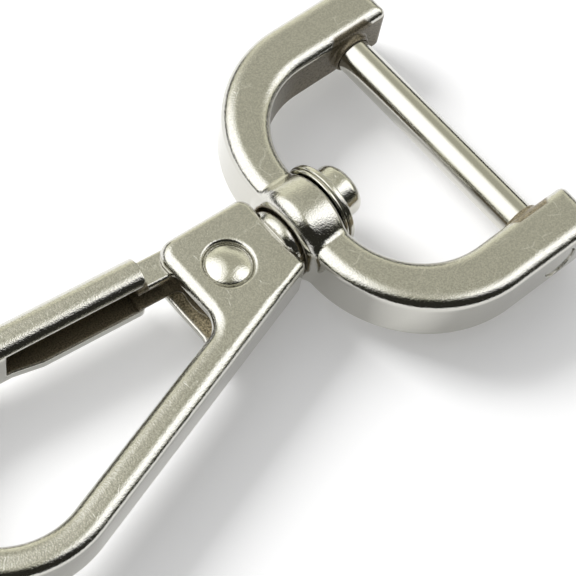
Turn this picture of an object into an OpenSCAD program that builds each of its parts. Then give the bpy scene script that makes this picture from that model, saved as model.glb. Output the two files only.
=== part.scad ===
// Swivel snap hook with a sprung gate and a flat D-ring, for a webbing strap.
// Millimetres. +X runs along the swivel axis from the hook to the D-ring, +Y to the
// gate's side and +Z up. Every sub-part is drawn in the swivel frame, whose origin is on
// the swivel axis at the back of the D-ring, and place() moves it to the part's frame.

/* [Strap and D-ring] */
// Clear width of the D-ring between its arms
strap_w = 25; // [20:0.5:32]
// Length of the D-ring from its back to the ends of its arms
ring_l = 24.2; // [23.4:0.2:32]
// Thickness of the D-ring
ring_t = 6.2; // [5:0.1:7]
// Width of the band at the back of the D-ring
back_w = 3.8; // [3:0.1:4.6]
// Width of each arm
arm_w = 5.2; // [4.2:0.1:6.5]
// Radius of the D-ring's inner corners
ring_corner = 8.7; // [6:0.1:9.4]
// Radius of the plan corners at the ends of the arms
arm_tip_r = 2.2; // [1.2:0.1:2.5]
// Rounding of the D-ring's long edges
ring_edge = 0.8; // [0.3:0.1:1.2]

/* [Cross bar] */
// Diameter of the cross bar
bar_d = 3.7; // [2.6:0.1:4.2]
// Distance from the bar's axis to the ends of the arms
bar_setback = 4.8; // [4:0.1:6]
// Height of the boss round the bar at each arm
bar_boss_h = 0.9; // [0.4:0.1:1.5]
// Width of the wall of that boss
bar_boss_wall = 0.55; // [0.3:0.05:0.8]

/* [Swivel] */
// Diameter of the D-ring's barrel
barrel_d = 9.8; // [9:0.1:11]
// How far the barrel stands out behind the D-ring's back
barrel_out = 0.45; // [0.3:0.05:0.5]
// Diameter of the stud's shank
stud_d = 3.6; // [3:0.1:4.2]
// Diameter of the stud's button head
button_d = 5.3; // [5:0.1:6.5]
// Height of the button head
button_h = 2.8; // [2:0.1:3.6]
// Diameter of the washer
washer_d = 9; // [7:0.1:9.6]
// Thickness of the washer
washer_t = 1.0; // [0.6:0.1:1.5]
// Diameter of the collar on the hook's neck
collar_d = 6.8; // [6:0.1:8.6]
// Radial clearance of the turning fits
fit_gap = 0.05; // [0.02:0.01:0.1]
// Axial play between the swivel's faces
axial_play = 0.15; // [0.05:0.05:0.2]

/* [Hook] */
// Distance from the D-ring's back to the centre of the bowl
bowl_reach = 34.7; // [31:0.1:42]
// Thickness of the hook and its gate
hook_t = 5.4; // [4.8:0.1:6.2]
// Width of the hook's shank and bowl in plan
shank_w = 3.2; // [2.6:0.1:3.8]
// Angle between the shank and the swivel axis
shank_angle = 16.5; // [14:0.5:18]
// Rounding of the hook's long edges
hook_edge = 0.9; // [0.4:0.1:1.2]
// Length of the slotted head
head_l = 10.5; // [10.2:0.1:11.5]
// Distance from the swivel axis to the head's edge on the gate's side
head_rise = 5.2; // [4.8:0.1:5.6]
// Height of the slot in the head
slot_h = 3; // [2.5:0.1:3.2]
// Gap between the D-ring's back and the head
neck_gap = 1.05; // [1:0.05:1.8]

/* [Gate] */
// Distance from the swivel end of the head to the rivet's axis
pivot_in = 5.95; // [5.6:0.05:6.2]
// Diameter of the rivet's shank
rivet_d = 3; // [2.4:0.1:3.2]
// Diameter of the rivet's domed heads
rivet_head_d = 4.6; // [4.2:0.1:5]
// Diameter of the recess round each rivet head
recess_d = 5.7; // [5.4:0.1:6.2]
// Depth of that recess
recess_depth = 0.5; // [0.3:0.05:0.6]
// Width of the gate in plan
gate_w = 3.4; // [3:0.1:3.8]
// Angle between the gate and the swivel axis
gate_angle = 6.6; // [5:0.2:8]
// Distance from the rivet's axis to the gate's inner face
gate_offset = 2.1; // [1.9:0.1:2.4]
// Wall of the gate's channel
gate_wall = 1.1; // [0.9:0.1:1.3]
// Radius of the gate's ears towards the slot's mouth
ear_r = 3.9; // [3.3:0.05:4]
// Radius of the gate's ears towards the swivel
hub_r = 2.9; // [2.7:0.05:3]
// Diameter of the spring's wire
wire_d = 0.6; // [0.4:0.05:0.65]

/* [Hidden] */

$fn = 96;
CUT = 1;

// Stud's tail, riveted over inside the slot
tail_d = 2.2;
tail_head_d = slot_h - 0.2;
tail_head_l = 0.5;

// Plan of the hook: the head, and the two outer lines that the bowl is tangent to
head_end_x = -neck_gap;
head_far_x = head_end_x - head_l;
pivot_x = head_end_x - pivot_in;
slot_root_x = pivot_x + hub_r + tail_head_l + 0.25;
slot_wall_y = -ear_r - 0.15;
shank_line_y = slot_wall_y - shank_w / cos(shank_angle) + (head_far_x - pivot_x) * -tan(shank_angle);
gate_line_d = gate_offset + gate_w;

// The bowl's centre lies bowl_reach behind the D-ring, as far from one line as from the other
bowl_x = -bowl_reach;
shank_outer_y = shank_line_y + (bowl_x - pivot_x) * tan(shank_angle);
gate_outer_y = gate_line_d / cos(gate_angle) - (bowl_x - pivot_x) * tan(gate_angle);
bowl_r = (gate_outer_y - shank_outer_y) / (1 / cos(shank_angle) + 1 / cos(gate_angle));
bowl_y = gate_outer_y - bowl_r / cos(gate_angle);
bowl_mid_r = bowl_r - shank_w / 2;

// Lap joint of the nose and the gate's tip, cut on circles round the rivet
tip_r = norm([bowl_x + bowl_r * sin(gate_angle) - pivot_x, bowl_y + bowl_r * cos(gate_angle)]) - 1.2;
lap_l = 2.3;
lip_t = 1.35;
lap_gap = 0.12;
tip_solid_l = 5;
nose_l = 5;

// Each stretch of the hook lies this much inside the one before, so that no faces nearly coincide
STEP = 0.02;

// Gate
tang_x = 7.6;
tang_gap = 0.05;
tang_h = slot_h - 2 * tang_gap;
tang_web = 0.75;
tang_drop = 0.9;
spring_gap = 0.07;
spring_r = hub_r - wire_d / 2 - 0.1;
spring_pitch = wire_d + 0.03;

// Spring: a leg on the gate's web, a coil round the rivet, and a leg on the slot's wall.
// The ears fill what the coil leaves of the tang's height.
gate_leg = [-6.4, gate_offset + gate_w - tang_drop - tang_web - wire_d / 2 + 0.6];
hook_leg = [-4.0, slot_wall_y + wire_d / 2 + 0.05];
function leg_angle(p) = acos(spring_r / norm(p));
coil_start = atan2(gate_leg[1], gate_leg[0]) - leg_angle(gate_leg);
coil_end = atan2(hook_leg[1], hook_leg[0]) + leg_angle(hook_leg) - 360;
coil_rise = spring_pitch * (coil_start - coil_end) / 360;
ear_t = tang_h / 2 - (coil_rise + wire_d) / 2 - spring_gap;

// Rivet
dome_h = 0.7;
rivet_rim_h = 0.15;

// D-ring
arm_y = strap_w / 2;
ring_half_w = arm_y + arm_w;
ring_corner_out = ring_corner + back_w + 0.7;
bar_x = ring_l - bar_setback;
barrel_end_x = back_w + 0.3;
barrel_edge = 0.45;
bore_d = stud_d + 2 * fit_gap;
washer_x = barrel_end_x + axial_play;
button_x = washer_x + washer_t + axial_play;
seat_x = head_end_x - 0.5;

// The part's origin: the middle of its box in plan, at its lowest point
hook_end_x = bowl_x - bowl_r;
mid_x = (ring_l + hook_end_x) / 2;
axis_z = barrel_d / 2;

module place() {
    translate([-mid_x, 0, axis_z]) children();
}

// Turns a profile drawn in (radius, X) about the swivel axis
module turned() {
    rotate([90, 0, 90]) rotate_extrude() children();
}

// Rectangle with true arcs at its corners
module rounded_rect(w, h, r) {
    square([w - 2 * r, h], center = true);
    square([w, h - 2 * r], center = true);
    for (sx = [-1, 1], sy = [-1, 1])
        translate([sx * (w / 2 - r), sy * (h / 2 - r)]) circle(r);
}

// Section of a slab's rim in (outwards, up), its outer corners rounded by edge
module rim_section(depth, t, edge) {
    intersection() {
        union() {
            translate([0, -t / 2]) square([depth - edge, t]);
            translate([0, -t / 2 + edge]) square([depth, t - 2 * edge]);
            for (s = [-1, 1]) translate([depth - edge, s * (t / 2 - edge)]) circle(edge);
        }
        translate([0, -t / 2]) square([depth, t]);
    }
}

// Outward direction of the side that wraps from disc p to disc q, and that side's length
function side_normal(p, q) =
    atan2(q[1] - p[1], q[0] - p[0]) - acos((p[2] - q[2]) / norm([q[0] - p[0], q[1] - p[1]]));
function side_length(p, q) = sqrt(pow(q[0] - p[0], 2) + pow(q[1] - p[1], 2) - pow(p[2] - q[2], 2));

// Convex slab with rounded edges whose plan wraps discs [x, y, r], given anticlockwise.
// The side that starts at the disc numbered bare is left plain, and so are its two corners.
module slab(discs, t, edge, bare = -1) {
    n = len(discs);
    bare_end = bare < 0 ? -1 : (bare + 1) % n;
    for (i = [0:n - 1]) {
        here = discs[i];
        next = discs[(i + 1) % n];
        a = side_normal(here, next);
        turn = (a - side_normal(discs[(i + n - 1) % n], here) + 720) % 360;
        depth = max(here[2], next[2]);
        l = side_length(here, next);
        translate([here[0], here[1], 0]) {
            if (i != bare && i != bare_end) rotate([0, 0, a - turn])
                rotate_extrude(angle = turn) rim_section(here[2], t, edge);
            if (i != bare) rotate([0, 0, a]) translate([here[2] - depth, l, 0]) rotate([90, 0, 0])
                linear_extrude(l) rim_section(depth, t, edge);
        }
    }
    linear_extrude(t, center = true) polygon([for (d = discs) [d[0], d[1]]]);
}

// ---------- hook ----------

// Centre of the shank's rounded end, which is the head's lower corner
shank_end_x = head_end_x - shank_w / 2 - STEP;
shank_end_y = shank_line_y + (shank_end_x - pivot_x) * tan(shank_angle) + shank_w / (2 * cos(shank_angle));

// The head's lower side is plain, and buried in the shank
module head_slab() {
    far_r = 2.0;
    near_r = 1.3;
    low_r = 1.0;
    slab([
        [head_end_x - near_r, head_rise - near_r, near_r],
        [head_far_x + far_r, head_rise - far_r, far_r],
        [head_far_x + low_r, slot_wall_y - shank_w / 2, low_r],
        [head_end_x - low_r, round(shank_end_y * 100) / 100, low_r]
    ], hook_t, hook_edge, bare = 2);
}

// Fillet in the corner between the head and the shank
module crotch() {
    r = 1.3;
    sink = 0.05;
    x = head_far_x - r + sink;
    y = slot_wall_y + (x - head_far_x) * tan(shank_angle) + (r - sink) / cos(shank_angle);
    reach = r + 0.8;
    translate([x, y, 0]) linear_extrude(hook_t - 2 * hook_edge, center = true) difference() {
        polygon([[0, 0], [reach * sin(shank_angle), -reach * cos(shank_angle)], [reach, -reach], [reach, 0]]);
        circle(r);
    }
}

// Shank and bowl, drawn about the bowl's centre from the point where the one runs into the other
module hook_bar() {
    w = shank_w - 2 * STEP;
    t = hook_t - 2 * STEP;
    shank_l = (shank_end_x - bowl_x - bowl_mid_r * sin(shank_angle)) / cos(shank_angle);
    translate([bowl_x, bowl_y, 0]) rotate([0, 0, shank_angle - 90]) mirror([0, 1, 0]) {
        rotate_extrude(angle = 180 + shank_angle + gate_angle)
            translate([bowl_mid_r, 0]) rounded_rect(w, t, hook_edge);
        translate([bowl_mid_r, 0, 0]) rotate([90, 0, 0]) linear_extrude(shank_l) rounded_rect(w, t, hook_edge);
        translate([bowl_mid_r, -shank_l, 0]) rotate([0, 0, 180])
            rotate_extrude(angle = 180) rim_section(w / 2, t, hook_edge);
    }
}

// Straight end of the nose, cut back for the gate's tip but for an outer lip
module nose() {
    overlap = 0.4;
    difference() {
        translate([bowl_x, bowl_y, 0]) rotate([0, 0, 90 - gate_angle])
            translate([bowl_mid_r, overlap, 0]) rotate([90, 0, 0])
                linear_extrude(overlap + nose_l) rounded_rect(shank_w - 4 * STEP, hook_t - 4 * STEP, hook_edge);
        intersection() {
            translate([pivot_x, 0, -hook_t]) cylinder(r = tip_r + lap_gap, h = 2 * hook_t);
            lap_block(0, 2 * hook_t);
        }
        translate([pivot_x, 0, -hook_t]) cylinder(r = tip_r - lap_l + lap_gap, h = 2 * hook_t);
    }
}

// Everything on the inner side of the lip's inner face, inset further by gap
module lap_block(gap, h) {
    depth = 3 * gate_w;
    translate([pivot_x, 0, 0]) rotate([0, 0, 180 - gate_angle])
        translate([0, -gate_line_d + lip_t + gap, -h / 2]) cube([2 * bowl_reach, depth, h]);
}

module collar() {
    t = neck_gap - barrel_out - axial_play;
    e = t / 2 - 0.02;
    r = collar_d / 2;
    turned() translate([0, head_end_x]) {
        translate([0, -CUT]) square([hook_t / 2 - 0.4, CUT + t]);
        square([r - e, t]);
        translate([0, e]) square([r, t - 2 * e]);
        for (x = [e, t - e]) translate([r - e, x]) circle(e);
    }
}

module slot() {
    translate([head_far_x - 2 * CUT, slot_wall_y, -slot_h / 2])
        cube([slot_root_x - head_far_x + 2 * CUT, head_rise - slot_wall_y + CUT, slot_h]);
}

module stud_hole() {
    turned() {
        translate([0, slot_root_x - CUT]) square([tail_d / 2, seat_x - slot_root_x + 2 * CUT]);
        translate([0, seat_x]) square([stud_d / 2, 3 * CUT]);
    }
}

module hook_body() {
    color([0.66, 0.64, 0.56]) place() difference() {
        union() {
            head_slab();
            crotch();
            hook_bar();
            nose();
            collar();
        }
        slot();
        stud_hole();
        translate([pivot_x, 0, -hook_t]) cylinder(d = rivet_d, h = 2 * hook_t);
        for (side = [-1, 1])
            translate([pivot_x, 0, side * (hook_t / 2 - recess_depth / 2 + CUT / 2)])
                cylinder(d = recess_d, h = recess_depth + CUT, center = true);
    }
}

// ---------- gate ----------

// Bar section in (across, up), rounded on its outer side
module bar_section(w, h, round) {
    translate([0, -h / 2]) square([w - round, h]);
    translate([0, -h / 2 + round]) square([w, h - 2 * round]);
    for (s = [-1, 1]) translate([w - round, s * (h / 2 - round)]) circle(round);
}

// The same section hollowed from its inner side
module channel(w, h, web, flange, round) {
    difference() {
        bar_section(w, h, round);
        translate([-CUT, -h / 2 + flange]) square([w - web + CUT, h - 2 * flange]);
    }
}

// Lays a section along the gate, from distance a to distance b behind the rivet
module along_gate(a, b) {
    translate([pivot_x, 0, 0]) rotate([0, 0, -gate_angle]) translate([-b, gate_offset, 0])
        rotate([90, 0, 90]) linear_extrude(b - a) children();
}

module gate_bar() {
    difference() {
        union() {
            along_gate(tang_x, tip_r - tip_solid_l) channel(gate_w, hook_t, gate_wall, gate_wall, 1.8);
            along_gate(tip_r - tip_solid_l, tip_r + CUT) bar_section(gate_w, hook_t, 1.8);
        }
        // The tip ends on a circle round the rivet, and its outer side steps in under the lip
        difference() {
            translate([pivot_x, 0, -hook_t]) cylinder(r = tip_r + 6, h = 2 * hook_t);
            translate([pivot_x, 0, -2 * hook_t]) cylinder(r = tip_r, h = 4 * hook_t);
        }
        difference() {
            translate([pivot_x, 0, -hook_t]) cylinder(r = tip_r + CUT, h = 2 * hook_t);
            translate([pivot_x, 0, -2 * hook_t]) cylinder(r = tip_r - lap_l, h = 4 * hook_t);
            lap_block(lap_gap / 2, 4 * hook_t);
        }
    }
}

// Stepped end of the gate that runs into the head's slot and round the rivet
module tang() {
    tang_w = gate_w - tang_drop;
    along_gate(ear_r - 0.2, tang_x + 0.4) channel(tang_w, tang_h, tang_web, ear_t, 0.6);
    for (side = [-1, 1]) translate([pivot_x, 0, side * (tang_h - ear_t) / 2]) {
        cylinder(r = hub_r, h = ear_t, center = true);
        rotate([0, 0, 90]) rotate_extrude(angle = 180) translate([0, -ear_t / 2]) square([ear_r, ear_t]);
        rotate([0, 0, 180 - gate_angle]) translate([0, -gate_offset - tang_w + 0.1, -ear_t / 2])
            cube([tang_x - 1, tang_w + 0.6, ear_t]);
    }
}

module gate() {
    color([0.70, 0.68, 0.61]) place() difference() {
        union() {
            gate_bar();
            tang();
        }
        translate([pivot_x, 0, -hook_t]) cylinder(r = rivet_d / 2 + fit_gap, h = 2 * hook_t);
    }
}

// Straight shank with a low rim and a crown on each side, the crown a little smaller than its rim
module gate_rivet() {
    seat = hook_t / 2 - recess_depth;
    base_r = rivet_head_d / 2 - 0.05;
    crown_r = (pow(base_r, 2) + pow(dome_h, 2)) / (2 * dome_h);
    color([0.78, 0.77, 0.72]) place() translate([pivot_x, 0, 0]) {
        cylinder(d = rivet_d, h = 2 * seat, center = true);
        for (side = [0, 1]) mirror([0, 0, side]) {
            translate([0, 0, seat]) cylinder(d = rivet_head_d, h = rivet_rim_h);
            translate([0, 0, seat + rivet_rim_h]) rotate_extrude() intersection() {
                translate([0, dome_h - crown_r]) circle(crown_r);
                square([rivet_head_d, rivet_head_d]);
            }
        }
    }
}

function polar(r, a, z) = [r * cos(a), r * sin(a), z];
function coil_point(f) =
    polar(spring_r, coil_start + (coil_end - coil_start) * f, coil_rise * (0.5 - f));
coil_steps = 44;
spring_path = concat(
    [[gate_leg[0], gate_leg[1], coil_rise / 2]],
    [for (i = [0:coil_steps]) coil_point(i / coil_steps)],
    [[hook_leg[0], hook_leg[1], -coil_rise / 2]]
);

function unit(v) = v / norm(v);
function heading(path, i) = unit(path[min(i + 1, len(path) - 1)] - path[max(i - 1, 0)]);

// Round wire swept along a path that never runs straight up
module wire(path, d, sides) {
    n = len(path);
    points = [for (i = [0:n - 1]) let (t = heading(path, i), side = unit(cross(t, [0, 0, 1])), up = cross(side, t))
        for (k = [0:sides - 1]) path[i] + d / 2 * (cos(360 * k / sides) * side + sin(360 * k / sides) * up)];
    walls = [for (i = [0:n - 2], k = [0:sides - 1]) let (a = i * sides, b = (k + 1) % sides)
        [a + k, a + sides + k, a + sides + b, a + b]];
    start = [for (k = [0:sides - 1]) k];
    end = [for (k = [sides - 1:-1:0]) (n - 1) * sides + k];
    polyhedron(points, concat([start], walls, [end]));
}

module gate_spring() {
    color([0.60, 0.60, 0.58]) place() translate([pivot_x, 0, 0]) wire(spring_path, wire_d, 10);
}

// ---------- swivel ----------

module swivel_stud() {
    round = 1.1;
    color([0.80, 0.80, 0.77]) place() turned() {
        translate([0, slot_root_x - tail_head_l]) square([tail_head_d / 2, tail_head_l]);
        translate([0, slot_root_x]) square([tail_d / 2, seat_x - slot_root_x]);
        translate([0, seat_x]) square([stud_d / 2, button_x - seat_x]);
        translate([0, button_x]) square([button_d / 2, button_h - round]);
        translate([0, button_x]) square([button_d / 2 - round, button_h]);
        intersection() {
            translate([button_d / 2 - round, button_x + button_h - round]) circle(round);
            translate([0, button_x]) square([button_d, button_h + CUT]);
        }
    }
}

module swivel_washer() {
    round = 0.25;
    bore_r = stud_d / 2 + fit_gap;
    rim = washer_d / 2 - bore_r;
    color([0.76, 0.76, 0.73]) place() turned()
        translate([bore_r + rim / 2, washer_x + washer_t / 2]) union() {
            square([rim - 2 * round, washer_t], center = true);
            translate([-rim / 4, 0]) square([rim / 2, washer_t], center = true);
            square([rim, washer_t - 2 * round], center = true);
            for (s = [-1, 1]) translate([rim / 2 - round, s * (washer_t / 2 - round)]) circle(round);
        }
}

// ---------- D-ring ----------

module ring_slab() {
    corner_y = ring_half_w - ring_corner_out;
    tip_y = ring_half_w - arm_tip_r;
    slab([
        [ring_corner_out, corner_y, ring_corner_out],
        [ring_corner_out, -corner_y, ring_corner_out],
        [ring_l - arm_tip_r, -tip_y, arm_tip_r],
        [ring_l - arm_tip_r, tip_y, arm_tip_r]
    ], ring_t, ring_edge);
}

// Plan of the D-ring's opening, grown by g and open past the ends of the arms
module opening(g) {
    cx = back_w + ring_corner;
    cy = arm_y - ring_corner;
    for (s = [-1, 1]) translate([cx, s * cy]) circle(ring_corner + g);
    translate([back_w - g, -cy]) square([ring_corner + g, 2 * cy]);
    translate([cx, -arm_y - g]) square([ring_l, 2 * (arm_y + g)]);
}

module barrel() {
    r = barrel_d / 2;
    l = barrel_end_x + barrel_out;
    turned() translate([0, -barrel_out]) {
        square([r - barrel_edge, l]);
        translate([0, barrel_edge]) square([r, l - 2 * barrel_edge]);
        for (x = [barrel_edge, l - barrel_edge]) translate([r - barrel_edge, x]) circle(barrel_edge);
    }
}

module bar_bosses() {
    for (s = [-1, 1]) translate([bar_x, s * (arm_y - bar_boss_h / 2 + CUT / 2), 0]) rotate([90, 0, 0])
        cylinder(d = bar_d + 2 * bar_boss_wall, h = bar_boss_h + CUT, center = true);
}

module d_ring() {
    color([0.67, 0.65, 0.58]) place() difference() {
        union() {
            difference() {
                ring_slab();
                translate([0, 0, -ring_t]) linear_extrude(2 * ring_t) opening(0);
            }
            barrel();
            bar_bosses();
        }
        turned() translate([0, -5 * CUT]) square([bore_d / 2, barrel_end_x + 10 * CUT]);
        translate([bar_x, 0, 0]) rotate([90, 0, 0]) cylinder(d = bar_d, h = 3 * ring_half_w, center = true);
    }
}

module cross_bar() {
    color([0.80, 0.80, 0.76]) place() translate([bar_x, 0, 0]) rotate([90, 0, 0])
        cylinder(d = bar_d, h = 2 * (ring_half_w - 0.15), center = true);
}

hook_body();
gate();
gate_rivet();
gate_spring();
swivel_stud();
swivel_washer();
d_ring();
cross_bar();
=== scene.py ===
import math
import bmesh
import bpy
import numpy as np
from mathutils import Matrix, Vector


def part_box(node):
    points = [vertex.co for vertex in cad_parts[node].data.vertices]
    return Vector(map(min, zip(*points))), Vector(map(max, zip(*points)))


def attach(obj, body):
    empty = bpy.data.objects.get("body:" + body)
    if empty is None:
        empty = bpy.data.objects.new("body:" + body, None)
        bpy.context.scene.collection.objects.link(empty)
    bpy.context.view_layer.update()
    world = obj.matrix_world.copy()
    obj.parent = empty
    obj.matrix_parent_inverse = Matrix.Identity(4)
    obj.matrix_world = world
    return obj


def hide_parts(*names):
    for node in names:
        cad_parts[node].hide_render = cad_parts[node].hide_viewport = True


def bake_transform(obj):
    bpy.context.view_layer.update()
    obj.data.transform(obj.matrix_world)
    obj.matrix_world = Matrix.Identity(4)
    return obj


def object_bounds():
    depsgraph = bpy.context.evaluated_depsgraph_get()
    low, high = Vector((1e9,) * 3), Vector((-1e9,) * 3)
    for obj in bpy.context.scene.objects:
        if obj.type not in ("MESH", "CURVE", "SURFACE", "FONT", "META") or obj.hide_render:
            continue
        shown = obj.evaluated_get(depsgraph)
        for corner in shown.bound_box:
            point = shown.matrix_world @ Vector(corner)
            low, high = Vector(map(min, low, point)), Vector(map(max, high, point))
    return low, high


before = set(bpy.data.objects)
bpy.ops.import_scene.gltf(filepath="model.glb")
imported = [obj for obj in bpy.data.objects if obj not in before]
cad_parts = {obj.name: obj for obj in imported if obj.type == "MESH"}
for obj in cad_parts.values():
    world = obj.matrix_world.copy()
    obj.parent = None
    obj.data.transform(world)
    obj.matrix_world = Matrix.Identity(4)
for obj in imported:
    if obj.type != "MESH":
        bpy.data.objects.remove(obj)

cad_low, cad_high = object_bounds()

# Sizes below are in millimetres in the swivel frame: +X runs along the swivel from the hook to the
# D-ring, +Z is up, and the origin is on the swivel's axis at the back of the D-ring.
MM = 0.001
BARREL_OUT = 0.45
ring_low, ring_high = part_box("d_ring")
origin = Vector((ring_low.x + BARREL_OUT * MM, 0, (ring_low.z + ring_high.z) / 2))


def span(node):
    """A CAD node's lowest and highest corners in the swivel frame."""
    return tuple((corner - origin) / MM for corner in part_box(node))


def at(x, y, z):
    """A point of the swivel frame in metres, in the part's frame."""
    return origin + Vector((x, y, z)) * MM


ring_box, bar_box, rivet_box = span("d_ring"), span("cross_bar"), span("gate_rivet")
hook_box, gate_box = span("hook_body"), span("gate")
stud_box, washer_box = span("swivel_stud"), span("swivel_washer")

# Driving sizes of the hook
SHANK_TILT = math.radians(16.5)
SHANK_W = 3.2
BOWL_REACH = 34.7
BOWL_THICKER = 0.3
HEAD_L = 10.5
HEAD_RISE = 5.2
HEAD_SLOPE = 0.054
HEAD_LEAN = 0.13
SLOT_H = 3.0
NECK_GAP = 1.05
BEAD_R = 3.35
BEAD_L = 0.95
RECESS_DEEP = 0.5

# Driving sizes of the gate, its rivet and its spring
GATE_TILT = math.radians(6.6)
GATE_W = 3.4
GATE_OFFSET = 2.1
GATE_WALL = 1.1
GATE_SHOULDER = 7.05
TIP_SOLID = 5.0
LAP_L = 2.3
LIP_T = 1.35
LAP_GAP = 0.12
FLANGE_WIDER = 0.5
TANG_END = 8.2
TANG_DROP = 0.5
TANG_WEB = 0.75
TANG_THICKER = 0.2
EAR_R = 3.9
EAR_T = 0.44
HUB_R = 2.9
RIVET_R = 1.45
DOME_R = 2.15
DOME_H = 0.56
WIRE_D = 0.6

# Driving sizes of the swivel's stud and washer
STUD_R = 1.5
STUD_TAIL_R = 1.4
STUD_WAIST_R = 1.1
WASHER_BORE_R = 1.75

# Driving sizes of the D-ring
BACK_W = 3.8
RING_T = 6.2
RING_CORNER = 8.7
STRAP_W = 25.0
ARM_TIP_R = 2.2
ARM_WIDER = 0.2
BORE_R = 2.2
BORE_L = 8.0
MOUTH_R = 3.6
MOUTH_DEEP = 1.3
BOSS_WALL = 0.28
BOSS_L = 0.7

# Places that the frame gives
pivot_x = (rivet_box[0].x + rivet_box[1].x) / 2
hook_half = gate_box[1].z
head_end_x = -NECK_GAP
head_far_x = head_end_x - HEAD_L
slot_root_x = pivot_x + HUB_R + 0.75
slot_wall_y = -EAR_R - 0.15
tang_half = SLOT_H / 2 - 0.05
ring_l = ring_box[1].x
ring_half_w = ring_box[1].y
ring_corner_out = RING_CORNER + BACK_W + 0.7
barrel_r = ring_box[1].z
barrel_end_x = BACK_W + 0.3
bar_x = (bar_box[0].x + bar_box[1].x) / 2
bar_r = bar_box[1].z
arm_y = STRAP_W / 2

# The bowl is tangent to the shank's outer line and to the gate's
gate_line = GATE_OFFSET + GATE_W
head_far_rise = (head_far_x - pivot_x) * math.tan(SHANK_TILT)
shank_line_y = slot_wall_y - SHANK_W / math.cos(SHANK_TILT) - head_far_rise
bowl_x = -BOWL_REACH
shank_at_bowl = shank_line_y + (bowl_x - pivot_x) * math.tan(SHANK_TILT)
gate_at_bowl = gate_line / math.cos(GATE_TILT) - (bowl_x - pivot_x) * math.tan(GATE_TILT)
bowl_r = (gate_at_bowl - shank_at_bowl) / (1 / math.cos(SHANK_TILT) + 1 / math.cos(GATE_TILT))
bowl_y = gate_at_bowl - bowl_r / math.cos(GATE_TILT)
bowl_mid_r = bowl_r - SHANK_W / 2
nose_x = bowl_x + bowl_r * math.sin(GATE_TILT) - pivot_x
nose_y = bowl_y + bowl_r * math.cos(GATE_TILT)
tip_r = math.hypot(nose_x, nose_y) - 1.2


# ---------- solids as distances: below zero inside, in millimetres ----------


def common(a, b, r):
    """What two solids share, with the edge between them rounded by r."""
    return np.minimum(-r, np.maximum(a, b)) + np.hypot(np.maximum(a + r, 0), np.maximum(b + r, 0))


def joined(a, b, r):
    """Two solids together, with the corner between them filled by r."""
    return np.maximum(r, np.minimum(a, b)) - np.hypot(np.maximum(r - a, 0), np.maximum(r - b, 0))


def cut(a, b, r):
    """Solid a without solid b, with the edge of the cut rounded by r."""
    return common(a, -b, r)


def plate(plan, height, half, edge, spread):
    """A flat piece of a given plan, its edges rounded over edge in height and edge * spread in plan."""
    return common(plan / spread, height - half, edge)


def surface_net(solid, low, high, cell):
    """Points and quads of a solid's surface: a point in each cell of a grid that the surface crosses,
    at the middle of the places where it crosses the cell's edges."""
    axes = [np.arange(a - 1.5 * cell, b + 2.5 * cell, cell) for a, b in zip(low, high)]
    level = solid(*np.meshgrid(*axes, indexing="ij", sparse=True))
    inside = level < 0
    shape = np.array(level.shape)
    cells, places, quads = [], [], []
    for d in range(3):
        u, v = (d + 1) % 3, (d + 2) % 3
        near = [slice(None)] * 3
        far = [slice(None)] * 3
        near[d], far[d] = slice(None, -1), slice(1, None)
        near, far = tuple(near), tuple(far)
        crossed = inside[near] != inside[far]
        edge = np.argwhere(crossed)
        start, end = level[near][crossed], level[far][crossed]
        place = edge.astype(float)
        place[:, d] += start / (start - end)
        ring = []
        for du, dv in ((-1, -1), (0, -1), (0, 0), (-1, 0)):
            c = edge.copy()
            c[:, u] += du
            c[:, v] += dv
            ring.append(np.ravel_multi_index(c.T, shape))
            cells.append(ring[-1])
            places.append(place)
        ring = np.stack(ring, 1)
        backwards = ~inside[near][crossed]
        ring[backwards] = ring[backwards][:, ::-1]
        quads.append(ring)
    ids, index = np.unique(np.concatenate(cells), return_inverse=True)
    places = np.concatenate(places)
    count = np.bincount(index)
    points = np.stack([np.bincount(index, places[:, k]) / count for k in range(3)])
    points = points * cell + np.array([[a[0]] for a in axes])
    return points, np.searchsorted(ids, np.concatenate(quads))


def slope(solid, points):
    """How a solid's distance changes along each axis at given points."""
    step = 0.01
    steps = np.eye(3)[:, :, None] * step
    return np.stack([solid(*(points + s)) - solid(*(points - s)) for s in steps]) / (2 * step)


def skin(solid, low, high, cell):
    """Points, quads and normals of a solid's surface: its net, evened out and brought onto the
    surface itself."""
    points, quads = surface_net(solid, low, high, cell)
    total = points.shape[1]
    one = quads.ravel()
    two = np.roll(quads, -1, 1).ravel()
    links = np.bincount(one, minlength=total) + np.bincount(two, minlength=total)
    for turn in range(4):
        if turn:
            even = np.stack([
                np.bincount(one, p[two], total) + np.bincount(two, p[one], total) for p in points
            ]) / links
            points = points + 0.6 * (even - points)
        for _ in range(2):
            g = slope(solid, points)
            move = solid(*points) * g / np.maximum((g * g).sum(0), 0.2)
            points = points - np.clip(move, -cell, cell)
    g = slope(solid, points)
    return points.T, quads, (g / np.linalg.norm(g, axis=0)).T


# ---------- hook ----------


def gate_frame(x, y):
    """Distance behind the rivet along the gate, and distance out from the rivet across it."""
    behind = -(x - pivot_x) * math.cos(GATE_TILT) + y * math.sin(GATE_TILT)
    out = (x - pivot_x) * math.sin(GATE_TILT) + y * math.cos(GATE_TILT)
    return behind, out


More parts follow.
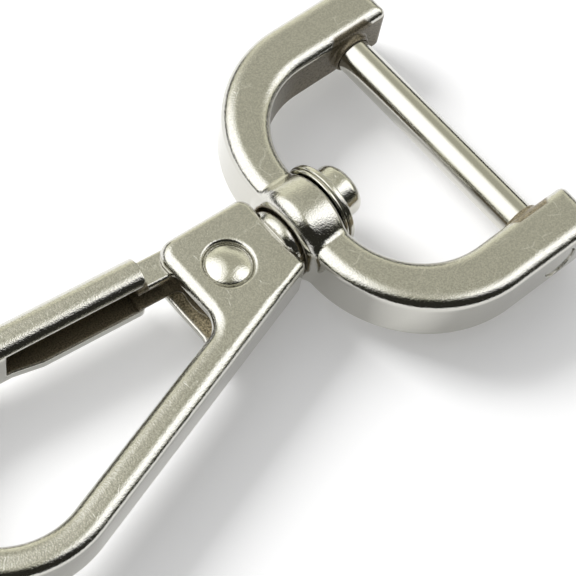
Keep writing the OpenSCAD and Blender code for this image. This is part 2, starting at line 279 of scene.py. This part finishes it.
def hook_bar_plan(x, y):
    """Plan of the shank, bowl and nose."""
    dx, dy = x - bowl_x, y - bowl_y
    along = dx * math.cos(SHANK_TILT) + dy * math.sin(SHANK_TILT)
    across = dx * math.sin(SHANK_TILT) - dy * math.cos(SHANK_TILT)
    # The bowl grows thicker inwards, most of all at its back on the gate's side
    thicker = BOWL_THICKER * np.clip(0.7 - along / 7, 0, 1) * np.clip(0.4 - (dx - 3 * dy) / 30, 0, 1)
    from_arc = np.abs(np.hypot(dx, dy) - bowl_mid_r + thicker) - thicker
    from_line = np.abs(across - bowl_mid_r + thicker) - thicker
    shank = np.where(along > 0, from_line, from_arc) - SHANK_W / 2
    along_nose = dx * math.cos(GATE_TILT) - dy * math.sin(GATE_TILT)
    across_nose = dx * math.sin(GATE_TILT) + dy * math.cos(GATE_TILT)
    nose = np.where(along_nose > 0, np.abs(across_nose - bowl_mid_r), from_arc) - SHANK_W / 2
    # The nose ends in a step that takes the lip of the gate's tip
    from_pivot = np.hypot(x - pivot_x, y)
    out = gate_frame(x, y)[1]
    nose = common(nose, tip_r - LAP_L + LAP_GAP - from_pivot, 0.15)
    nose = cut(nose, common(from_pivot - tip_r - LAP_GAP, out - gate_line + LIP_T, 0.1), 0.1)
    return np.minimum(shank, nose)


def head_plan(x, y, z):
    """Plan of the slotted head, whose far end leans out a little towards the bottom."""
    top = y - HEAD_RISE + HEAD_SLOPE * (x - pivot_x - 1)
    far = head_far_x - x - HEAD_LEAN * (1.6 - z)
    shank_mid_y = shank_line_y + SHANK_W / 2 / math.cos(SHANK_TILT) + (x - pivot_x) * math.tan(SHANK_TILT)
    return np.maximum(common(top, far, 2.0), (shank_mid_y - y) * math.cos(SHANK_TILT))


def head_slot(y, z):
    """The slot of the head, without its ends."""
    return np.maximum(np.abs(z) - SLOT_H / 2, slot_wall_y - y)


def hook_solid(x, y, z):
    """The hook: its bar, its slotted head with the rivet's recesses, and the bead of its neck."""
    plan = joined(head_plan(x, y, z), hook_bar_plan(x, y), 1.5)
    plan = common(plan, x - head_end_x, np.where(y > 0, 1.3, 0.6)) + 0.02
    outer_side = np.clip(-y - 0.25 * (x - pivot_x) - 4, 0, 1)
    body = plate(plan, np.abs(z), hook_half, 0.95, 1.05 + 0.35 * outer_side)
    from_head = x - head_end_x
    bead = common(np.hypot(y, z) - BEAD_R + 0.35 * (from_head - 0.3) ** 2, from_head - BEAD_L, 0.3)
    bead = np.maximum(bead, -0.5 - from_head)
    body = np.minimum(body, bead)
    slot = np.maximum(common(head_slot(y, z), x - slot_root_x, 0.4), head_far_x - 2 - x)
    body = cut(body, slot, 0.22)
    around = np.hypot(x - pivot_x, y)
    recess = common(around - DOME_R - 0.17, hook_half - RECESS_DEEP - np.abs(z), 0.1)
    body = cut(body, recess, 0.42)
    return cut(body, around - (RIVET_R + 0.05), 0.05)


# ---------- gate ----------


def gate_solid(x, y, z):
    """The gate: a channel with a solid stepped tip, and a tang with an ear above and below the spring."""
    behind, out = gate_frame(x, y)
    around = np.hypot(x - pivot_x, y)
    high = np.abs(z)
    bar = common(out - gate_line, high - hook_half, 1.6)
    # The lower flange is the wider one, up to the solid tip
    lower = np.where(z < 0, FLANGE_WIDER, 0)
    inner = GATE_OFFSET - lower * np.clip((tip_r - TIP_SOLID - 0.5 - behind) / 3, 0, 1)
    upper_edge = common((inner - out) / 1.4, high - hook_half, 1.25)
    lower_edge = common(inner - out, high - hook_half, 0.3)
    bar = np.maximum(bar, np.where(z < 0, lower_edge, upper_edge))
    shoulder = GATE_SHOULDER - behind
    bar = np.maximum(bar, common(shoulder, inner - out, 1.0))
    bar = common(bar, shoulder, 0.3)
    tip = common(around - tip_r, bar, 0.15)
    step = np.maximum(tip_r - LAP_L - around, gate_line - LIP_T - LAP_GAP / 2 - out)
    tip = cut(tip, step, 0.12)
    hollow = common(high - hook_half + GATE_WALL, out - gate_line + GATE_WALL, 0.5)
    hollow = np.maximum(hollow, behind - tip_r + TIP_SOLID)
    body = joined(cut(tip, hollow, 0.3), tang_solid(x, y, z, inner), 0.15)
    return cut(body, around - (RIVET_R + 0.11), 0.05)


def tang_solid(x, y, z, inner):
    """A channel lower than the gate's that runs into the head's slot, and the two ears."""
    behind, out = gate_frame(x, y)
    high = np.abs(z)
    tang = common(out - gate_line + TANG_DROP, high - tang_half, 0.5)
    tang = common(tang, inner - 0.1 - out, 0.45)
    tang = np.maximum(tang, np.maximum(EAR_R - 0.6 - behind, behind - TANG_END))
    ear_r = np.where(x < pivot_x, EAR_R, HUB_R + (EAR_R - HUB_R) * np.exp(-4 * (x - pivot_x) ** 2))
    ear = np.maximum(np.hypot(x - pivot_x, y) - ear_r, high - tang_half)
    tang = joined(tang, ear, 0.9)
    wall = EAR_T + TANG_THICKER * np.clip((behind - EAR_R - 0.7) / 0.8, 0, 1)
    spring_room = common(high - tang_half + wall, out - gate_line + TANG_DROP + TANG_WEB, 0.1)
    return cut(tang, np.maximum(spring_room, behind - TANG_END - 0.2), 0.08)


# ---------- D-ring ----------


def ring_plan(x, y):
    """Plan of the D frame. Its opening is narrower by ARM_WIDER on one side."""
    wide = np.abs(y)
    outer = common(wide - ring_half_w, x - ring_l, ARM_TIP_R)
    outer = np.maximum(outer, common(wide - ring_half_w, -x, ring_corner_out))
    sides = np.abs(y - ARM_WIDER / 2) - arm_y + ARM_WIDER / 2
    return cut(outer, common(sides, BACK_W + 0.35 - x, RING_CORNER), 0.8)


def ring_solid(x, y, z):
    """The D-ring: the frame, a crowned barrel with its bore and mouth, and a boss on each arm."""
    body = plate(ring_plan(x, y), np.abs(z), RING_T / 2, 1.1, 1.35)
    around = np.hypot(y, z)
    barrel_mid_x = (barrel_end_x - BARREL_OUT) / 2
    barrel_half_l = (barrel_end_x + BARREL_OUT) / 2
    crown = 0.03 * (x - barrel_mid_x) ** 2
    edge = np.where(x < barrel_mid_x, 1.3, 0.5)
    barrel = common(around - barrel_r + crown, np.abs(x - barrel_mid_x) - barrel_half_l, edge)
    body = joined(body, barrel, 0.3)
    from_bar = np.hypot(x - bar_x, z)
    boss = common(from_bar - bar_r - BOSS_WALL, arm_y - BOSS_L - np.abs(y), 0.28)
    boss = np.maximum(boss, np.abs(y) - arm_y - 1)
    body = joined(body, boss, 0.25)
    body = cut(body, np.maximum(around - BORE_R, np.abs(x) - BORE_L), 0.1)
    mouth = common(around - MOUTH_R, x - MOUTH_DEEP, 0.3)
    body = cut(body, mouth, 0.12)
    return cut(body, from_bar - bar_r - 0.02, 0.05)


# ---------- where the castings get painted shade, on hollows also left unpolished: below zero there ---


def hook_inside(x, y, z):
    """The slot of the head."""
    return np.maximum(head_slot(y, z), head_far_x - 0.1 - x)


def gate_inside(x, y, z):
    """The channel, and the spring's room in the tang."""
    behind, out = gate_frame(x, y)
    high = np.abs(z)
    channel = np.maximum(high - hook_half + GATE_WALL, out - gate_line + GATE_WALL)
    channel = np.maximum(channel, behind - tip_r + TIP_SOLID)
    spring_room = np.maximum(high - tang_half + EAR_T + 0.01, out - gate_line + TANG_DROP + TANG_WEB)
    return np.where(behind > GATE_SHOULDER, channel, spring_room)


def ring_inside(x, y, z):
    """Round the bar's ends, along the middle of the opening's walls, and in the barrel's mouth."""
    wide = np.abs(y)
    arm = np.maximum(arm_y - 0.5 - wide, wide - arm_y - 0.5)
    near_bar = np.maximum(np.hypot(x - bar_x, z) - 3.4, arm) / 2
    walls = np.maximum(BACK_W - x, np.maximum(np.abs(z) - 2.2, wide - arm_y - 0.2)) + 0.06
    mouth = np.maximum(np.hypot(y, z) - MOUTH_R - 0.25, x - MOUTH_DEEP - 0.15) + 0.1
    return np.minimum(np.minimum(near_bar, walls), mouth)


# ---------- making the pieces ----------


def piece_from(name, points, faces):
    """An object made of points in the swivel frame, in millimetres."""
    mesh = bpy.data.meshes.new(name)
    mesh.from_pydata((np.array(points) * MM + np.array(origin)).tolist(), [], faces)
    mesh.shade_smooth()
    piece = bpy.data.objects.new(name, mesh)
    bpy.context.scene.collection.objects.link(piece)
    return piece


def cast_piece(name, solid, inside, box, cell, margin=(0, 0, 0)):
    """A casting, with an attribute of 1 on its hollow faces, which get painted shade and the duller
    unpolished finish that a polishing wheel can't reach there.
    Its surface is looked for in the CAD node's box and within a margin round it."""
    points, quads, normals = skin(solid, box[0] - Vector(margin), box[1] + Vector(margin), cell)
    piece = piece_from(name, points, quads.tolist())
    piece.data.normals_split_custom_set_from_vertices(normals.tolist())
    # The attribute marks where painted shade goes: the hollow faces, which are also left unpolished
    depth = inside(*(points.T))
    painted_shade_mask = piece.data.attributes.new("painted_shade_unpolished", "FLOAT", "POINT")
    painted_shade_mask.data.foreach_set("value", np.clip(0.5 - (depth - 0.06) / 0.1, 0, 1).tolist())
    return piece


def rounded(corners, steps=6):
    """A profile of (x, r) corners given as (x, r, rounding), its corners replaced with arcs."""
    line = []
    for i, (x, r, e) in enumerate(corners):
        if e == 0 or i in (0, len(corners) - 1):
            line.append((x, r))
            continue
        here = Vector((x, r))
        back = (Vector(corners[i - 1][:2]) - here).normalized()
        on = (Vector(corners[i + 1][:2]) - here).normalized()
        half = back.angle(on) / 2
        centre = here + (back + on).normalized() * e / math.sin(half)
        a = here + back * e / math.tan(half) - centre
        b = here + on * e / math.tan(half) - centre
        for k in range(steps + 1):
            line.append(tuple(centre + a.lerp(b, k / steps).normalized() * e))
    return line


def rows_joined(rows, sides):
    """Quads that join each row of points round a piece to the next row."""
    quads = []
    for i in range(rows - 1):
        for k in range(sides):
            j = (k + 1) % sides
            quads.append((i * sides + k, i * sides + j, (i + 1) * sides + j, (i + 1) * sides + k))
    return quads


def weld(piece):
    """Merges the points that meet on the axis, and turns the faces outwards."""
    work = bmesh.new()
    work.from_mesh(piece.data)
    bmesh.ops.remove_doubles(work, verts=work.verts, dist=1e-7)
    bmesh.ops.recalc_face_normals(work, faces=work.faces)
    work.to_mesh(piece.data)
    work.free()
    piece.data.shade_smooth()


def lathe(name, profile, place, sides=128):
    """A turned piece: a profile of (x, r) about the X axis, then put in place by a matrix in mm."""
    turn = np.linspace(0, 2 * math.pi, sides, endpoint=False)
    points = [place @ Vector((x, r * math.cos(t), r * math.sin(t))) for x, r in profile for t in turn]
    piece = piece_from(name, points, rows_joined(len(profile), sides))
    weld(piece)
    return piece


def wire_tube(name, path, r, sides=14):
    """A round wire along a path, closed at both ends."""
    path = [Vector(p) for p in path]
    rows = len(path)
    points = []
    for i in range(rows):
        along = (path[min(i + 1, rows - 1)] - path[max(i - 1, 0)]).normalized()
        side = along.cross(Vector((0, 0, 1))).normalized()
        up = side.cross(along)
        for k in range(sides):
            t = 2 * math.pi * k / sides
            points.append(path[i] + (side * math.cos(t) + up * math.sin(t)) * r)
    ends = [tuple(range(sides)), tuple(range((rows - 1) * sides, rows * sides))]
    piece = piece_from(name, points, rows_joined(rows, sides) + ends)
    weld(piece)
    return piece


# ---------- turned pieces ----------


def dome_rivet():
    """The rivet: the upper half of its profile, and the same again for the lower half."""
    dome_steps = 12
    seat = hook_half - RECESS_DEEP
    rim = seat + 0.2
    crown_r = (DOME_R**2 + DOME_H**2) / (2 * DOME_H)
    top = [(0, RIVET_R), (seat, RIVET_R), (seat, DOME_R - 0.05), (seat + 0.05, DOME_R), (rim, DOME_R)]
    for k in range(1, dome_steps + 1):
        a = math.asin(DOME_R / crown_r) * (1 - k / dome_steps)
        top.append((rim + DOME_H - crown_r + crown_r * math.cos(a), crown_r * math.sin(a)))
    upright = Matrix.Translation((pivot_x, 0, 0)) @ Matrix.Rotation(-math.pi / 2, 4, "Y")
    return lathe("gate_rivet_domed", [(-x, r) for x, r in reversed(top)] + top[1:], upright, 96)


def leaning(turn_up, turn_side):
    """A turn in degrees, up and to one side, about the place where the stud leaves the head."""
    up = Matrix.Rotation(-math.radians(turn_up), 4, "Y")
    side = Matrix.Rotation(math.radians(turn_side), 4, "Z")
    return Matrix.Translation((head_end_x, 0, 0)) @ up @ side @ Matrix.Translation((-head_end_x, 0, 0))


def swivel_stud():
    """The stud with its button head, leaning up and to one side in the barrel's loose bore."""
    button_r = stud_box[1].y + 0.08
    button_x, button_end = washer_box[1].x + 0.2, stud_box[1].x + 0.1
    tail_x, waist_end = slot_root_x - 0.5, head_end_x - 0.5
    profile = rounded([
        (tail_x, 0, 0), (tail_x, STUD_TAIL_R, 0.1), (slot_root_x, STUD_TAIL_R, 0.1),
        (slot_root_x, STUD_WAIST_R, 0), (waist_end, STUD_WAIST_R, 0), (waist_end, STUD_R, 0),
        (button_x, STUD_R, 0), (button_x, button_r, 0.15), (button_end - 0.05, button_r, 0.9),
        (button_end, 0, 0),
    ])
    return lathe("swivel_stud_turned", profile, leaning(4.0, 5.0))


def swivel_washer():
    """The washer, with a groove between its flange and its rim, hanging loose on the stud."""
    rim_r = washer_box[1].y - 0.15
    flange_r, groove_r = rim_r - 0.1, rim_r - 0.35
    start, end = washer_box[0].x + 0.12, washer_box[1].x + 0.18
    groove_x, groove_end = start + 0.36, start + 0.36 + 0.05
    profile = rounded([
        (start + 0.2, WASHER_BORE_R, 0), (start, WASHER_BORE_R, 0.05), (start, flange_r, 0.15),
        (groove_x, flange_r, 0.12), (groove_x, groove_r, 0), (groove_end, groove_r, 0),
        (groove_end, rim_r, 0.14), (end, rim_r, 0.24), (end, WASHER_BORE_R, 0.05),
        (start + 0.2, WASHER_BORE_R, 0),
    ])
    loose = Matrix.Translation((0, 0.32, 0.28)) @ leaning(1.2, 1.5)
    return lathe("swivel_washer_pressed", profile, loose)


def cross_bar():
    """The bar through both arms of the D-ring, its ends slightly rounded."""
    end = bar_box[1].y
    profile = rounded([(-end, 0, 0), (-end, bar_r, 0.25), (end, bar_r, 0.25), (end, 0, 0)])
    place = Matrix.Translation((bar_x, 0, 0)) @ Matrix.Rotation(math.pi / 2, 4, "Z")
    return lathe("cross_bar_round", profile, place)


# ---------- spring ----------


def gate_spring():
    """A coil round the rivet, with one leg under the tang's web and one along the slot's wall."""
    steps = 96
    coil_r = HUB_R - WIRE_D / 2 - 0.1
    gate_leg = Vector((-6.4, gate_line - 1.35))
    hook_leg = Vector((-4.0, slot_wall_y + WIRE_D / 2 + 0.05))
    start = math.atan2(gate_leg.y, gate_leg.x) - math.acos(coil_r / gate_leg.length)
    end = math.atan2(hook_leg.y, hook_leg.x) + math.acos(coil_r / hook_leg.length) - 2 * math.pi
    rise = (WIRE_D + 0.03) * (start - end) / (2 * math.pi)
    path = [(pivot_x + gate_leg.x, gate_leg.y, rise / 2)]
    for k in range(steps + 1):
        a = start + (end - start) * k / steps
        path.append((pivot_x + coil_r * math.cos(a), coil_r * math.sin(a), rise * (0.5 - k / steps)))
    path.append((pivot_x + hook_leg.x, hook_leg.y, -rise / 2))
    return wire_tube("gate_spring_coil", path, WIRE_D / 2 * 0.97)


CELL = 0.15
MARGIN = (0.3, 0.3, 0.1)
hook = cast_piece("hook_body_cast", hook_solid, hook_inside, hook_box, CELL, MARGIN)
gate = cast_piece("gate_channel", gate_solid, gate_inside, gate_box, CELL * 0.8, MARGIN)
ring = cast_piece("d_ring_cast", ring_solid, ring_inside, ring_box, CELL)
rivet, stud, washer, bar = dome_rivet(), swivel_stud(), swivel_washer(), cross_bar()
spring = gate_spring()


# ---------- finishes ----------


class Output:
    """A node's output, with arithmetic that adds Math nodes."""

    def __init__(self, nodes, socket):
        self.nodes, self.socket = nodes, socket

    def math(self, operation, *values):
        """Adds a Math node, or a Vector Math node if any of the values is a vector or a colour."""
        kind = "Math"
        if any(isinstance(v, Output) and v.socket.type in ("VECTOR", "RGBA") for v in values):
            kind = "VectorMath"
            values = [(v,) * 3 if isinstance(v, float) else v for v in values]
        return self.nodes.add(kind, {"operation": operation}, dict(enumerate(values)))

    def __add__(self, other):
        return self.math("ADD", self, other)

    def __sub__(self, other):
        return self.math("SUBTRACT", self, other)

    def __rsub__(self, other):
        return self.math("SUBTRACT", other, self)

    def __mul__(self, other):
        return self.math("MULTIPLY", self, other)

    def __abs__(self):
        return self.math("ABSOLUTE", self)

    __radd__, __rmul__ = __add__, __mul__


class Nodes:
    """A node tree that is filled through add()."""

    def __init__(self, tree):
        self.tree = tree
        tree.nodes.clear()

    def add(self, kind, settings=None, values=None, out=0):
        """Adds a node: its settings first, then its sockets' values or links. Returns an output."""
        node = self.tree.nodes.new("ShaderNode" + kind)
        for name, value in (settings or {}).items():
            setattr(node, name, value)
        for name, value in (values or {}).items():
            if isinstance(value, Output):
                self.tree.links.new(value.socket, node.inputs[name])
            else:
                node.inputs[name].default_value = value
        return Output(self, node.outputs[out]) if node.outputs else node

    def between(self, value, low, high):
        """How far a value is from low to high, smoothed, from 0 to 1."""
        ends = {"Value": value, "From Min": low, "From Max": high}
        return self.add("MapRange", {"interpolation_type": "SMOOTHSTEP"}, ends)

    def noise(self, where, size, detail=2.0, rough=0.5):
        """Even noise about 0.5 whose lumps are size millimetres across."""
        values = {"Vector": where, "Scale": 1 / (size * MM), "Detail": detail, "Roughness": rough}
        return self.add("TexNoise", {}, values)

    def mix(self, factor, a, b):
        """Colour a where the factor is 0, and b where it is 1."""
        return self.add("Mix", {"data_type": "RGBA"}, {0: factor, 6: a, 7: b}, 2)


# Colours of the painted shade in the castings' hollows, which also stand for their unpolished finish
SHADE_BROWN = (0.10, 0.083, 0.05, 1)
SHADE_LIGHT_BROWN = (0.28, 0.235, 0.15, 1)
SHADE_TAN = (0.62, 0.53, 0.34, 1)
SCRATCH_WHITE = (0.95, 0.95, 0.93, 1)


def scratches(n, where):
    """Hairline scratches in scattered groups: the edges of large bent cells."""
    bent = where + n.add("TexNoise", {}, {"Vector": where, "Scale": 160.0}, "Color") * 0.004
    cells = {"voronoi_dimensions": "3D", "feature": "DISTANCE_TO_EDGE"}
    from_edge = n.add("TexVoronoi", cells, {"Vector": bent, "Scale": 420.0}, "Distance")
    return n.between(from_edge, 0.035, 0.0) * n.between(n.noise(where, 2.5), 0.54, 0.64)


def nickel(name, grain, rough_flat, rough_edge, lumps, tint=(0.66, 0.65, 0.60), shade_speck=SHADE_LIGHT_BROWN):
    """Nickel plate: fine grain where the face is flat, smoother where it is rounded or upright, and on the
    hollow faces left dull and painted with shade, in specks of brown and of a second colour."""
    material = bpy.data.materials.new(name)
    material.use_nodes = True
    n = Nodes(material.node_tree)
    where = n.add("TexCoord", out="Object")
    facing = abs(n.add("SeparateXYZ", {}, {0: n.add("TexCoord", out="Normal")}, "Z"))
    flat = n.between(facing, 0.93, 0.995)
    top = n.between(facing, 0.25, 0.6)
    fine = n.noise(where, 0.15, 2, 0.6)
    coarse = n.noise(where, 0.7)
    broad = n.noise(where, 4.0, 1)
    line = scratches(n, where) * flat * grain
    painted_shade_mask = n.add("Attribute", {"attribute_name": "painted_shade_unpolished"}, out="Fac")
    shade = n.between(fine * 0.85 + coarse * 0.15, 0.38, 0.62)
    dark = tuple(c * (1 - 0.09 * grain) for c in tint) + (1,)
    pale = tuple(min(1, c * (1 + 0.07 * grain)) for c in tint) + (1,)
    plated = n.mix(line * 0.35, n.mix(shade * top, dark, pale), SCRATCH_WHITE)
    # Painted shade: the hollows turn brown in specks, for both their shade and their unpolished finish
    painted_shade_unpolished = n.mix(n.between(fine, 0.3, 0.7), SHADE_BROWN, shade_speck)
    rough = rough_edge + flat * (rough_flat - rough_edge) + (fine - 0.5) * (0.12 * grain) + painted_shade_mask * 0.2
    height = fine * grain * (1.3 - flat * 0.3) * top + coarse * lumps * 1.2 + broad * lumps * 3 - line * 0.4
    shader = n.add("BsdfPrincipled", {}, {
        "Base Color": n.mix(painted_shade_mask, plated, painted_shade_unpolished), "Metallic": 1 - painted_shade_mask * 0.75, "Roughness": rough,
        "Normal": n.add("Bump", {}, {"Strength": 1.0, "Distance": 1.7e-5, "Height": height}),
    })
    n.add("OutputMaterial", {}, {"Surface": shader})
    return material


satin = nickel("satin_nickel_plate", 1.0, 0.20, 0.09, 0.4)
# The hook's slot gets its painted shade in specks of brown and tan
hook_satin = nickel("satin_nickel_hook", 1.0, 0.20, 0.09, 0.4, shade_speck=SHADE_TAN)
bright = nickel("bright_nickel_plate", 0.8, 0.12, 0.08, 0.6, (0.70, 0.69, 0.63))
drawn = nickel("drawn_nickel_bar", 0.3, 0.15, 0.15, 0.08)
steel = nickel("spring_wire_steel", 0.3, 0.2, 0.2, 0.3, (0.55, 0.55, 0.54))

for piece, body, node, finish, slot in (
    (hook, "hook", "hook_body", hook_satin, "satin_nickel"),
    (gate, "gate", "gate", satin, "satin_nickel"),
    (rivet, "hook", "gate_rivet", bright, "bright_nickel"),
    (stud, "hook", "swivel_stud", bright, "bright_nickel"),
    (washer, "hook", "swivel_washer", bright, "bright_nickel"),
    (ring, "ring", "d_ring", satin, "satin_nickel"),
    (bar, "ring", "cross_bar", drawn, "bright_nickel"),
):
    piece.data.materials.append(finish)
    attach(piece, body)
    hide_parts(node)

spring.data.materials.append(steel)
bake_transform(spring)
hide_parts("gate_spring")


# ---------- studio ----------

FLOOR_HALF = 0.9
# Azimuth and elevation of each screen, and the radii between which its brightness fades, in degrees
SCREENS = ((135, 50, 24, 48), (-42, 48, 17, 29))
SCREEN_LEVEL = 1.7
DARK_LEVEL = 0.03
ROOM_TINT = (1.0, 0.985, 0.80, 1)
WHITE = (1, 1, 1, 1)
SEEING_RAYS = ("Is Camera Ray", "Is Glossy Ray", "Is Transmission Ray")

scene = bpy.context.scene
scene.view_settings.view_transform = "Standard"


def at_most_one(n, value):
    """A value, held to 1 where it is more."""
    return n.add("Math", {"operation": "MINIMUM"}, {0: value, 1: 1.0})


def white_paper():
    """Pale paper, which glows a little for the camera and for what is mirrored or seen through."""
    material = bpy.data.materials.new("white_paper")
    material.use_nodes = True
    n = Nodes(material.node_tree)
    camera_ray, glossy_ray, clear_ray = (n.add("LightPath", out=ray) for ray in SEEING_RAYS)
    seen = at_most_one(n, camera_ray + glossy_ray + clear_ray)
    plain = n.add("BsdfDiffuse", {}, {"Color": (0.86, 0.86, 0.86, 1)})
    glow = n.add("Emission", {}, {"Color": WHITE, "Strength": seen * 0.20})
    n.add("OutputMaterial", {}, {"Surface": n.add("AddShader", {}, {0: plain, 1: glow})})
    return material


def room():
    """The room round the part: plain white for the camera, and for the metal a grey ceiling that
    brightens towards the walls, two white screens, a dark opening and a dark skirting."""
    world = bpy.data.worlds.new("studio")
    world.use_nodes = True
    n = Nodes(world.node_tree)
    direction = n.add("TexCoord", out="Generated")
    x, y, z = (n.add("SeparateXYZ", {}, {0: direction}, axis) for axis in "XYZ")

    def towards(azimuth, elevation):
        """How much the direction points at an azimuth and elevation, as a cosine."""
        a, e = math.radians(azimuth), math.radians(elevation)
        return x * (math.cos(a) * math.cos(e)) + y * (math.sin(a) * math.cos(e)) + z * math.sin(e)

    def patch(level, to, azimuth, elevation, inner, outer):
        """A round patch of brightness that is whole within the inner radius and fades to the outer."""
        edges = math.cos(math.radians(outer)), math.cos(math.radians(inner))
        return level + n.between(towards(azimuth, elevation), *edges) * (to - level)

    level = 0.50 + n.between(z, 0.70, 0.30) * 0.50
    screens = 0.0
    for screen in SCREENS:
        level = patch(level, SCREEN_LEVEL, *screen)
        screens = patch(screens, 1.0, *screen)
    opening = n.between(towards(-113, 2) + n.between(z, 0.3, 0.0) * 0.35, 0.30, 0.46)
    level = level + opening * (DARK_LEVEL - level)
    # The skirting has a gap, without which it would stripe the barrel's flank
    gap = n.between(towards(60, 5), 0.985, 0.955)
    skirting = n.between(z, -0.05, 0.0) * n.between(z, 0.36, 0.20) * gap
    level = level + skirting * (DARK_LEVEL - level)

    camera_ray, glossy_ray, clear_ray = (n.add("LightPath", out=ray) for ray in SEEING_RAYS)
    # The room shows in the metal itself, but doesn't light the paper by way of the metal
    bounces = n.add("LightPath", out="Diffuse Depth")
    glossy_ray = glossy_ray * n.add("Math", {"operation": "LESS_THAN"}, {0: bounces, 1: 0.5})
    # What lights the part and the paper comes mostly from the far side and from above
    lighting = 1 - at_most_one(n, camera_ray + clear_ray + glossy_ray)
    fill = n.between(y * 0.85 + z * 0.53, -0.3, 0.8) * 0.95
    strength = camera_ray + clear_ray + glossy_ray * level + lighting * fill
    tinted = glossy_ray * (1 - screens) * n.between(z, -0.4, 0.1)
    colour = n.mix(tinted, WHITE, ROOM_TINT)
    n.add("OutputWorld", {}, {"Surface": n.add("Background", {}, {"Color": colour, "Strength": strength})})
    return world


def paper_floor():
    """A square sheet of the paper, which isn't part of the object."""
    floor = bpy.data.objects.new("studio_floor", bpy.data.meshes.new("studio_floor"))
    corners = [(x * FLOOR_HALF, y * FLOOR_HALF, 0) for x, y in ((-1, -1), (1, -1), (1, 1), (-1, 1))]
    floor.data.from_pydata(corners, [], [(0, 1, 2, 3)])
    floor.data.materials.append(white_paper())
    scene.collection.objects.link(floor)


def key_softbox():
    """The main light, which shows in no reflection."""
    away = Vector((-0.273, 0.75, 0.602)).normalized()
    light = bpy.data.lights.new("key_softbox", "AREA")
    light.size, light.energy = 0.20, 2.75
    lamp = bpy.data.objects.new("key_softbox", light)
    lamp.location = (cad_low + cad_high) / 2 + away * 0.55
    lamp.rotation_mode = "QUATERNION"
    lamp.rotation_quaternion = away.to_track_quat("Z", "Y")
    lamp.visible_glossy = False
    scene.collection.objects.link(lamp)


def camera_at(target, azimuth, elevation, roll, distance):
    """A camera that looks at a target from an azimuth and elevation, rolled, all in degrees."""
    view = bpy.data.cameras.new("camera")
    view.lens, view.sensor_width = 125, 36
    view.clip_start, view.clip_end = 0.01, 10
    camera = bpy.data.objects.new("camera", view)
    camera.matrix_world = (
        Matrix.Translation(target)
        @ Matrix.Rotation(math.radians(90 + azimuth), 4, "Z")
        @ Matrix.Rotation(math.radians(90 - elevation), 4, "X")
        @ Matrix.Rotation(math.radians(roll), 4, "Z")
        @ Matrix.Translation((0, 0, distance))
    )
    scene.collection.objects.link(camera)
    return camera


scene.world = room()
paper_floor()
key_softbox()
scene.camera = camera_at(at(-3.076, -4.249, 0), -143.255, 59.56, 14.2725, 182.98 * MM)
